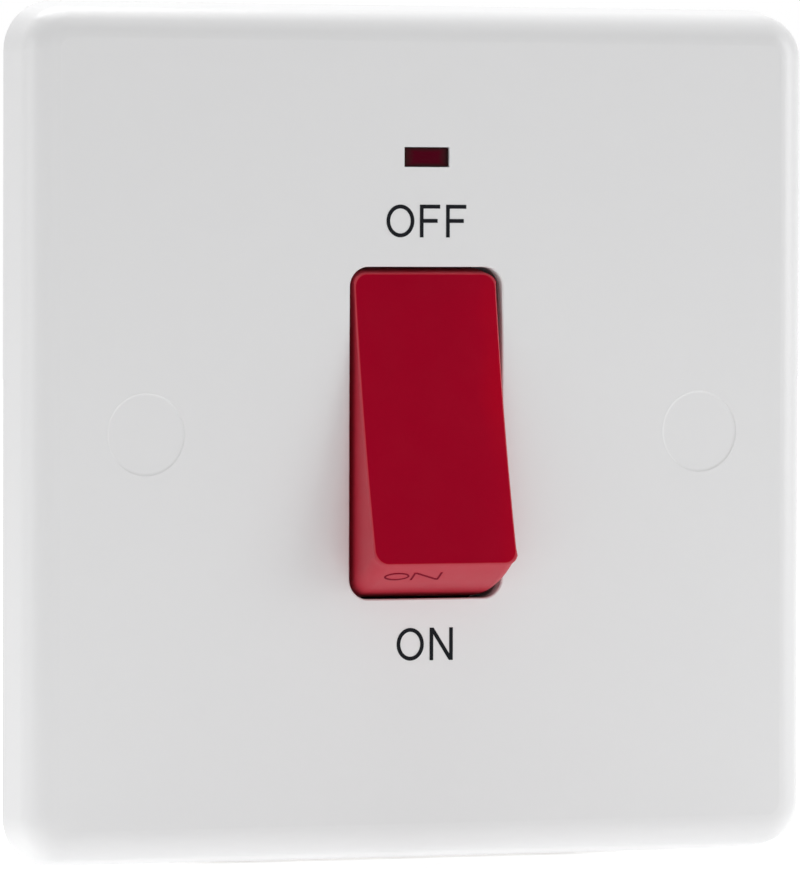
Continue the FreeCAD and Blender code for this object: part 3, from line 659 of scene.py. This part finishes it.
light = {
    "worldStrength": 0.4,
    "aim": (0, 0, 0),
    "lamps": [
        # name, place, width, height, watts
        ("topBox", (0.0, 0.05, 0.75), 0.5, 0.4, 1.99),
        ("topRear", (0.0, 0.4, 0.65), 0.5, 0.4, 2.55),
        ("leftBox", (-0.8, 0.0, 0.1), 0.4, 0.6, 0.84),
        ("rightFront", (0.7, -0.4, 0.1), 0.4, 0.6, 1.98),
    ],
}
floorLook = {
    "size": 6.0,
    "drop": 0.2 * mm,  # below the plate's lower edge
    "colour": (0.82, 0.82, 0.82),
    "roughness": 0.9,
    "glowNear": 0.55,  # what the floor sends up to the object's lower rim, at the plate and further out
    "glowFar": 0.29,
    "glowReach": 0.05,
    "white": 0.45,  # what is seen of its glow beside the object, rising to 1 between these two distances
    "whiteNear": 0.15,
    "whiteFar": 0.5,
}
darkCard = {
    "place": (0.24, -0.55, 0.24),
    "width": 0.46,
    "height": 0.5,
    "colour": (0.01, 0.01, 0.01),
    "roughness": 0.9,
}


def raySeen(owner):
    # 1 for what the camera, gloss or glass sees, 0 for what lights the object
    rays = addNode(owner, "ShaderNodeLightPath").outputs
    seen = calc(owner, "MAXIMUM", rays["Is Camera Ray"], rays["Is Glossy Ray"])
    return calc(owner, "MAXIMUM", seen, rays["Is Transmission Ray"])


def floorMaterial():
    # pale ground that keeps the shadow near the object and fades to white around it
    look = floorLook
    material = newMaterial("paleFloor", look["colour"], look["roughness"])
    place = objectPlace(material)
    away = calcVector(material, "LENGTH", place)
    white = spread(material, away, look["white"], 1.0, look["whiteNear"], look["whiteFar"])
    outward = calc(material, "ABSOLUTE", separate(material, place)["Y"])
    glowing = spread(material, outward, look["glowNear"], look["glowFar"], end=look["glowReach"])
    lift = spread(material, raySeen(material), glowing, white)
    glow = addNode(material, "ShaderNodeEmission", {"Strength": lift}).outputs[0]
    paint = shaderOf(material).outputs[0]
    both = addNode(material, "ShaderNodeAddShader", {0: paint, 1: glow}).outputs[0]
    clear = addNode(material, "ShaderNodeBsdfTransparent").outputs[0]
    below = addNode(material, "ShaderNodeNewGeometry").outputs["Backfacing"]  # not seen from underneath
    surface = addNode(material, "ShaderNodeMixShader", {0: below, 1: both, 2: clear}).outputs[0]
    material.node_tree.links.new(surface, material.node_tree.nodes["Material Output"].inputs["Surface"])
    return material


def addFloor():
    deselectAll()
    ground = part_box("front_plate")[0].z - floorLook["drop"]
    bpy.ops.mesh.primitive_plane_add(size=floorLook["size"], location=(0, 0, ground))
    floor = named("floor")
    floor.data.materials.append(floorMaterial())


def addWorld():
    world = bpy.data.worlds.new("studio")
    world.use_nodes = True
    bpy.context.scene.world = world
    background = world.node_tree.nodes["Background"]
    background.inputs["Color"].default_value = (1, 1, 1, 1)
    strength = spread(world, raySeen(world), light["worldStrength"], 1.0)
    world.node_tree.links.new(strength, background.inputs["Strength"])


def addCard():
    card = darkCard
    turn = Vector(card["place"]).to_track_quat("Z", "Y").to_euler()
    deselectAll()
    bpy.ops.mesh.primitive_plane_add(size=1, location=card["place"], rotation=turn)
    panel = named("darkCard")
    panel.scale = (card["width"], card["height"], 1)
    panel.data.materials.append(newMaterial("cardBlack", card["colour"], card["roughness"]))
    for ray in ("camera", "diffuse", "shadow", "transmission"):  # only reflections see it
        setattr(panel, "visible_" + ray, False)


def addLamps():
    for name, place, width, height, watts in light["lamps"]:
        lamp = bpy.data.lights.new(name, "AREA")
        lamp.shape = "RECTANGLE"
        lamp.size = width
        lamp.size_y = height
        lamp.energy = watts
        holder = bpy.data.objects.new(name, lamp)
        bpy.context.scene.collection.objects.link(holder)
        holder.location = place
        ahead = Vector(light["aim"]) - Vector(place)
        holder.rotation_euler = ahead.to_track_quat("-Z", "Y").to_euler()


addCamera()
addFloor()
addWorld()
addCard()
addLamps()
bpy.context.scene.view_settings.view_transform = "Standard"
print("camera and light set")


# Rocker

def spinOn(angle, centre, steps):
    # turns the last drawn point about X, from +Y towards +Z where the angle is positive
    bpy.ops.mesh.spin(steps=steps, angle=-angle, center=centre, axis=(1, 0, 0))


def sideProfile(name, endRadius, faceY, rearY, halfWidth):
    # the rocker's side view, drawn with a spun point and extruded across its width
    dish = rockerShape["dish"]
    faceZ = math.sqrt(endRadius ** 2 - faceY ** 2)
    rearZ = math.sqrt(endRadius ** 2 - rearY ** 2)
    endTurn = math.pi - math.atan2(faceZ, -faceY) - math.atan2(rearZ, rearY)
    dishRadius = (faceZ ** 2 + dish ** 2) / (2 * dish)
    dishTurn = 2 * math.asin(faceZ / dishRadius)
    deselectAll()
    bpy.ops.mesh.primitive_plane_add(size=endRadius, location=(-halfWidth, rearY, -rearZ))
    solid = bakePlace(named(name))
    enterEdit(solid)
    bpy.ops.mesh.merge(type="CENTER")
    spinOn(-endTurn, (0, 0, 0), rockerShape["endSteps"])
    spinOn(dishTurn, (0, faceY + dish - dishRadius, 0), rockerShape["dishSteps"])
    spinOn(-endTurn, (0, 0, 0), rockerShape["endSteps"])
    bpy.ops.mesh.select_all(action="SELECT")
    bpy.ops.mesh.edge_face_add()
    bpy.ops.mesh.extrude_region_move(TRANSFORM_OT_translate={"value": (2 * halfWidth, 0, 0)})
    leaveEdit()
    return solid


def roundRocker(body):
    # wide rounds along the edges where the ends meet the flanks, then a fine round on every sharp edge
    shape = rockerShape

    def onEndArc(first, second):
        atSide = all(abs(abs(point.x) - shape["halfWidth"]) < nearby for point in (first, second))
        alongArc = abs(first.x - second.x) < nearby
        reaches = [math.hypot(point.y, point.z) for point in (first, second)]
        onArc = all(abs(reach - shape["endRadius"]) < nearby for reach in reaches)
        return atSide and alongArc and onArc and (first - second).length < shape["wall"]

    selectEdges(body, onEndArc)
    bpy.ops.mesh.bevel(offset=shape["cornerRound"], segments=shape["cornerSteps"], affect="EDGES")
    bpy.ops.object.mode_set(mode="OBJECT")
    roundEdges(body, shape["edgeRound"], shape["edgeSteps"], use_clamp_overlap=False,
               angle_limit=math.radians(shape["roundedFrom"]))


def makeRocker():
    shape = rockerShape
    wall = shape["wall"]
    past = 1 * mm  # cutters reach this far beyond what they cut
    faceY = -shape["endRadius"] * math.sin(math.radians(shape["edgeAngle"]))
    rearY = shape["endRadius"] * math.sin(math.radians(shape["skirtAngle"]))
    body = sideProfile("redRocker", shape["endRadius"], faceY, rearY, shape["halfWidth"])
    roundRocker(body)
    hollow = sideProfile("rockerHollow", shape["endRadius"] - wall, faceY + wall, rearY + past,
                         shape["halfWidth"] - wall)
    boolean(body, hollow, "DIFFERENCE")
    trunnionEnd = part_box("rocker")[1].x
    tubeStart = faceY + shape["dish"] + wall / 2
    tubeEnd = shape["tubeLength"]
    for side in (-1, 1):
        inner = side * (shape["halfWidth"] - wall / 2)
        trunnion = cylinder("trunnion", shape["trunnionRadius"], (inner, 0, 0), (side * trunnionEnd, 0, 0))
        boolean(body, trunnion, "UNION")
        x = side * shape["tubeSpacing"] / 2
        tube = cylinder("tube", shape["tubeRadius"], (x, tubeStart, 0), (x, tubeEnd, 0))
        boolean(body, tube, "UNION")
        bore = cylinder("bore", shape["tubeBore"], (x, tubeStart + wall, 0), (x, tubeEnd + past, 0))
        boolean(body, bore, "DIFFERENCE")

    closeHoles(body, sides=8)
    body.rotation_euler.x = -math.radians(shape["tilt"])
    body.location = pivot["rocker_tilt"]
    bakePlace(body)
    smooth(body, degrees=32)
    body.data.materials.append(finishes["rocker_red"])
    finish(body, "rocker", "rocker")
    print("rocker modelled:", len(body.data.polygons), "faces")


makeRocker()


# Legends printed on the plate and raised on the rocker's end

legend = {
    "stroke": 0.39 * mm,
    "ink": 0.03 * mm,
    "sunk": 0.05 * mm,
    "low": {"OFF": 19.6 * mm, "ON": -22.85 * mm},
    "capHeight": 3.28 * mm,
    "letters": [
        # word, letter, left edge, width
        ("OFF", "O", -4.39 * mm, 3.02 * mm),
        ("OFF", "F", -0.76 * mm, 2.2 * mm),
        ("OFF", "F", 2.10 * mm, 2.2 * mm),
        ("ON", "O", -3.18 * mm, 2.95 * mm),
        ("ON", "N", 0.41 * mm, 2.53 * mm),
    ],
    "endLetters": [
        # letter, left edge, width
        ("O", -6.13 * mm, 2.71 * mm),
        ("N", -3.10 * mm, 3.05 * mm),
    ],
    "endHeight": 1.43 * mm,
    "endStroke": 0.2 * mm,
    "endAngle": 30.9,  # from straight down, about the rocker's pivot
    "middleBar": 0.505,  # where the F's middle bar lies, as a share of its height
    "middleBarShare": 0.875,
    "ringSteps": 96,
}


def strokeBox(start, end, width, depth):
    # one straight stroke lying in the XZ plane, from y = 0 to y = depth
    start, end = Vector((start[0], 0, start[1])), Vector((end[0], 0, end[1]))
    run = end - start
    centre = (start + end) / 2 + Vector((0, depth / 2, 0))
    deselectAll()
    bpy.ops.mesh.primitive_cube_add(size=1, location=centre, scale=(run.length, depth, width),
                                    rotation=(0, -math.atan2(run.z, run.x), 0))
    return bakePlace(named("stroke"))


def ringLetter(width, height, stroke, depth):
    deselectAll()
    bpy.ops.mesh.primitive_circle_add(vertices=legend["ringSteps"], radius=1, fill_type="NGON",
                                      rotation=(math.pi / 2, 0, 0), location=(width / 2, 0, height / 2))
    ring = named("ring")
    ring.scale = (width / 2, height / 2, 1)
    bakePlace(ring)
    enterEdit(ring, "FACE")
    bpy.ops.mesh.inset(thickness=stroke, use_even_offset=True)
    bpy.ops.mesh.delete(type="FACE")
    bpy.ops.mesh.select_all(action="SELECT")
    bpy.ops.mesh.extrude_region_move(TRANSFORM_OT_translate={"value": (0, depth, 0)})
    leaveEdit()
    return ring


def makeLetter(kind, width, height, stroke, depth):
    if kind == "O":
        return ringLetter(width, height, stroke, depth)
    half = stroke / 2
    letter = strokeBox((half, 0), (half, height), stroke, depth)
    if kind == "F":
        boolean(letter, strokeBox((0, height - half), (width, height - half), stroke, depth), "UNION")
        bar = height * legend["middleBar"]
        barEnd = width * legend["middleBarShare"]
        boolean(letter, strokeBox((0, bar), (barEnd, bar), stroke, depth), "UNION")
    else:
        boolean(letter, strokeBox((width - half, 0), (width - half, height), stroke, depth), "UNION")
        # the N's slant runs past both ends and is cut to the letter's height
        slant = Vector((width - stroke, -height)).normalized() * stroke
        diagonal = strokeBox((half - slant.x, height - slant.y), (width - half + slant.x, slant.y),
                             stroke, depth)
        boolean(diagonal, strokeBox((0, height / 2), (width, height / 2), height, 3 * depth), "INTERSECT")
        boolean(letter, diagonal, "UNION")
    return letter


def plateLegend(word):
    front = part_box("front_plate")[0].y
    depth = legend["ink"] + legend["sunk"]
    letters = []
    for owner, kind, left, width in legend["letters"]:
        if owner == word:
            letter = makeLetter(kind, width, legend["capHeight"], legend["stroke"], depth)
            letter.location = (left, front - legend["ink"], legend["low"][word])
            letters.append(bakePlace(letter))
    return joined("legend" + word.title(), letters)


def rockerEndLegend():
    angle = math.radians(legend["endAngle"])
    outward = Vector((0, -math.sin(angle), -math.cos(angle)))
    upward = Vector((0, -math.cos(angle), math.sin(angle)))
    reach = rockerShape["endRadius"] + legend["ink"]
    foot = pivot["rocker_tilt"] + outward * reach - upward * legend["endHeight"] / 2
    letters = []
    for kind, left, width in legend["endLetters"]:
        letter = makeLetter(kind, width, legend["endHeight"], legend["endStroke"], 2 * legend["sunk"])
        letter.rotation_euler.x = math.pi / 2 - angle
        letter.location = foot + Vector((left, 0, 0))
        letters.append(bakePlace(letter))
    return joined("legendRockerEnd", letters)


def makeLegends():
    ink = plain("legendInk")
    for word in ("OFF", "ON"):
        piece = plateLegend(word)
        piece.data.materials.append(ink)
        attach(piece, "housing")
    piece = rockerEndLegend()
    # the end letters' darker red is painted shade
    piece.data.materials.append(plain("rockerLegendPaintedShade"))
    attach(piece, "rocker")
    print("legends modelled")


makeLegends()


# Screws with turned threads

screwKinds = {
    # radius, length under the head, head radius, head height, neck radius and length, pitch
    "clamp": (1.9 * mm, 7.7 * mm, 2.6 * mm, 1.9 * mm, 0, 0, 0.7 * mm),
    "earth": (1.6 * mm, 6.0 * mm, 2.4 * mm, 1.9 * mm, 0, 0, 0.6 * mm),
    "fixing": (1.75 * mm, 24.6 * mm, 3.2 * mm, 1.9 * mm, 1.4 * mm, 3.2 * mm, 0.6 * mm),
    "body": (1.4 * mm, 9.0 * mm, 2.8 * mm, 1.6 * mm, 0, 0, 0.6 * mm),
}
screwShape = {
    "threadDepth": 0.45,  # this and the next three are shares of the pitch
    "threadHalfWidth": 0.45,
    "threadStart": 0.45,
    "threadFree": 0.9,
    "threadFoot": 0.05 * mm,  # how far the ridge reaches into the core
    "threadSteps": 28,
    "overlap": 0.1 * mm,  # of the shank and the head
    "tipRound": 0.3 * mm,
    "tipSteps": 2,
    "headRound": 0.22 * mm,
    "headSteps": 4,
    "shankSides": 56,
    "headSides": 72,
    "slotWidth": 0.8 * mm,
    "slotDepth": 0.9 * mm,
    "turnStep": 0.7,  # radians from one screw's slot to the next
    "bodyTurn": 0.5,
}


def threadRidge(crest, root, turns, pitch):
    # a V-shaped ridge wound about the Z axis; the unit triangle is 1.5 high and 2 cos 30 wide
    across = (crest - root + screwShape["threadFoot"]) / 1.5
    along = screwShape["threadHalfWidth"] * pitch / math.cos(math.radians(30))
    place = (crest - across, 0, screwShape["threadStart"] * pitch)
    ridge = upright("thread", place, radius=1, vertices=3, turn=math.pi / 2)
    ridge.scale = (along, across, 1)
    return wind(bakePlace(ridge), pitch, turns, screwShape["threadSteps"])


def makeScrew(kind):
    # stands on its tip at the origin, its head upwards along Z
    shape = screwShape
    crest, length, headRadius, headHeight, neckRadius, neckLength, pitch = screwKinds[kind]
    root = crest - shape["threadDepth"] * pitch
    threaded = length - neckLength
    top = length + headHeight
    screw = cylinder(kind + "Screw", root, (0, 0, 0), (0, 0, threaded + shape["overlap"]),
                     shape["shankSides"])
    roundEdges(screw, shape["tipRound"], shape["tipSteps"])
    turns = int((threaded - shape["threadFree"] * pitch) / pitch)
    boolean(screw, threadRidge(crest, root, turns, pitch), "UNION")
    if neckLength:
        neck = cylinder("neck", neckRadius, (0, 0, threaded), (0, 0, length + shape["overlap"]),
                        shape["shankSides"])
        boolean(screw, neck, "UNION")
    head = cylinder("head", headRadius, (0, 0, length), (0, 0, top), shape["headSides"])
    roundEdges(head, shape["headRound"], shape["headSteps"])
    boolean(screw, head, "UNION")
    deselectAll()
    # the slot's cutter is longer than the head is wide, and half of it stands above the head
    bpy.ops.mesh.primitive_cube_add(size=1, location=(0, 0, top),
                                    scale=(3 * headRadius, shape["slotWidth"], 2 * shape["slotDepth"]))
    boolean(screw, bakePlace(named("slot")), "DIFFERENCE")
    screw.data.materials.append(finishes["plated_steel"])
    return smooth(screw, degrees=30)


def placeScrew(model, name, place, headBack, turn=0.0):
    screw = copied(model, name)
    screw.rotation_euler = (-math.pi / 2 if headBack else math.pi / 2, turn, 0)
    screw.location = place
    return bakePlace(screw)


def makeScrews():
    models = {kind: makeScrew(kind) for kind in screwKinds}
    count = 0
    for node in sorted(nodes):
        if node.endswith(("_screw_inner", "_screw_outer")) or node == "earth_screw":
            kind = "earth" if node == "earth_screw" else "clamp"
            place = middle(node)
            place.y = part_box(node)[0].y
            count += 1
            turn = screwShape["turnStep"] * count
            screw = placeScrew(models[kind], node + "Threaded", place, True, turn)
            finish(screw, node, node)
    for hand in ("left", "right"):
        node = "fixing_screw_" + hand
        place = middle(node)
        place.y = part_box(node)[1].y
        screw = placeScrew(models["fixing"], node + "Threaded", place, False)
        finish(screw, node, "housing")
    low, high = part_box("body_screws")
    reach = high.x - screwKinds["body"][2]
    pair = []
    for side in (-1, 1):
        place = (side * reach, low.y, 0)
        pair.append(placeScrew(models["body"], "bodyScrew", place, True, screwShape["bodyTurn"]))
    finish(joined("bodyScrewsThreaded", pair), "body_screws", "housing")
    for model in models.values():
        bpy.data.objects.remove(model)
    print("screws modelled:", count + 4)  # with two fixing screws and two body screws


makeScrews()


# Plunger springs, wound from round wire

spring = {
    "coilRadius": 1.15 * mm,
    "wireRadius": 0.16 * mm,
    "wireSides": 12,
    "turns": 7,
    "turnSteps": 32,
    "start": -4.60 * mm,  # along the plunger, from the rocker's pivot
    "end": 1.59 * mm,
    "travel": 1.0 * mm,
}


def makeSprings():
    tilt = math.radians(rockerShape["tilt"])
    along = Vector((0, math.cos(tilt), -math.sin(tilt)))
    length = spring["end"] - spring["start"]
    for pole, side in (("live", -1), ("neutral", 1)):
        wire = upright("coil_" + pole, (spring["coilRadius"], 0, 0), spring["wireRadius"],
                       spring["wireSides"])
        coil = wind(bakePlace(wire), length / spring["turns"], spring["turns"], spring["turnSteps"])
        across = Vector((side * rockerShape["tubeSpacing"] / 2, 0, 0))
        anchor = pivot["rocker_tilt"] + along * spring["start"] + across
        coil.rotation_euler.x = -math.pi / 2 - tilt
        coil.location = anchor
        bakePlace(coil)
        smooth(coil, degrees=60)
        coil.data.materials.append(finishes["spring_steel"])
        finish(coil, "plunger_spring_" + pole, "rocker")
        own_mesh(coil)
    print("springs modelled")


makeSprings()


# Screw caps, almost flush in the plate, with narrow borders that sink towards the face inside them

cap = {
    "radius": 4.12 * mm,
    "sides": 128,
    "proud": 0.01 * mm,
    "borderWidth": 0.3 * mm,
    "borderDepth": 0.08 * mm,
    "borderSteps": 6,
}


def makeCaps():
    steps = cap["borderSteps"]
    turns = [math.radians(90) * step / steps for step in range(steps + 1)]
    for hand in ("left", "right"):
        node = "screw_cap_" + hand
        low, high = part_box(node)
        place = middle(node)
        front = (place.x, low.y - cap["proud"], place.z)
        disc = cylinder("cap_" + hand, cap["radius"], front, (place.x, high.y, place.z), cap["sides"])
        selectFaces(disc, lambda centre, normal: facesFront(normal))
        for lower, upper in zip(turns, turns[1:]):
            bpy.ops.mesh.inset(thickness=cap["borderWidth"] * (math.cos(lower) - math.cos(upper)))
            sink = cap["borderDepth"] * (math.sin(upper) - math.sin(lower))
            bpy.ops.transform.translate(value=(0, sink, 0))
        leaveEdit()
        smooth(disc, degrees=30)
        disc.data.materials.append(finishes["moulded_white"])
        finish(disc, node, "housing")
    print("caps modelled")


makeCaps()


# Neon window

def makeWindow():
    low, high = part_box("neon_lens")
    height = middle("neon_lens").z
    stem = block("neonWindow", (-window["halfWidth"], low.y, height - window["halfHeight"]),
                 (window["halfWidth"], high.y, height + window["halfHeight"]))
    selectEdges(stem, lambda first, second: abs(first.y - second.y) > window["flangeStart"])
    bpy.ops.mesh.bevel(offset=window["cornerRound"], segments=window["cornerSteps"], affect="EDGES")
    bpy.ops.object.mode_set(mode="OBJECT")
    roundEdges(stem, window["edgeRound"], window["edgeSteps"],
               angle_limit=math.radians(window["roundedFrom"]))
    boolean(stem, block("flange", (low.x, low.y + window["flangeStart"], low.z), high), "UNION")

    # a frame round the front, with the panel a little deeper inside it
    front = low.y + window["edgeRound"] / 2
    selectFaces(stem, lambda centre, normal: facesFront(normal) and centre.y < front)
    bpy.ops.mesh.inset(thickness=window["frame"] - window["edgeRound"])
    bpy.ops.mesh.extrude_region_move(TRANSFORM_OT_translate={"value": (0, window["panelDrop"], 0)})
    bpy.ops.object.mode_set(mode="OBJECT")
    smooth(stem, degrees=35)
    stem.data.materials.append(finishes["neon_red"])
    finish(stem, "neon_lens", "housing")
    print("neon window modelled")


makeWindow()

bpy.data.orphans_purge(do_recursive=True)
